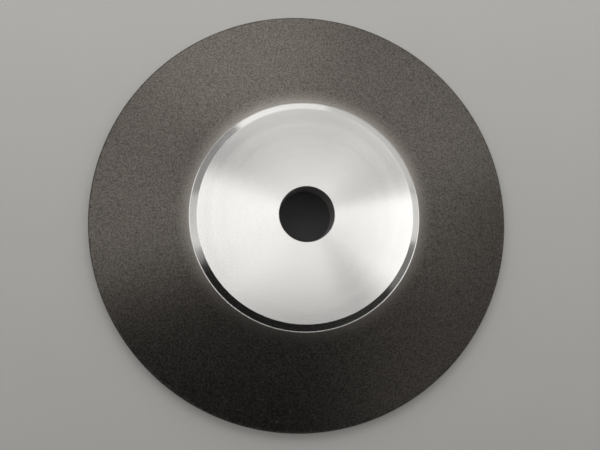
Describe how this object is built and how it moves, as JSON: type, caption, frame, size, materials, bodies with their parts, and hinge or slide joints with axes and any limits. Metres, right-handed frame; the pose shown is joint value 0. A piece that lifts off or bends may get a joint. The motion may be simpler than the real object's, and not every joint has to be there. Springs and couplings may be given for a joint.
{
  "type": "diamond grinding wheel",
  "caption": "Flat-backed grinding wheel with a raised turned hub, a plain arbor bore and a shallow tapered flank plated with diamond grit in nickel.",
  "frame": {"origin": "centre of the arbor bore in the plane of the flat back face, which is the centre of the underside", "axes": "+Z along the arbor axis, from the flat back face towards the raised front clamping face; X and Y are any two square directions across the wheel"},
  "size_m": [0.2, 0.2, 0.015],
  "materials": {
    "turned_aluminium": "fine turned, bright",
    "plated_nickel": "plated, satin",
    "diamond_grit": "dense sparkling grit"
  },
  "bodies": {
    "root": {"wheel_core": "turned_aluminium", "nickel_bond_flank": "plated_nickel", "nickel_bond_rim": "plated_nickel", "diamond_grit_flank": "diamond_grit", "diamond_grit_rim": "diamond_grit"}
  },
  "joints": []
}
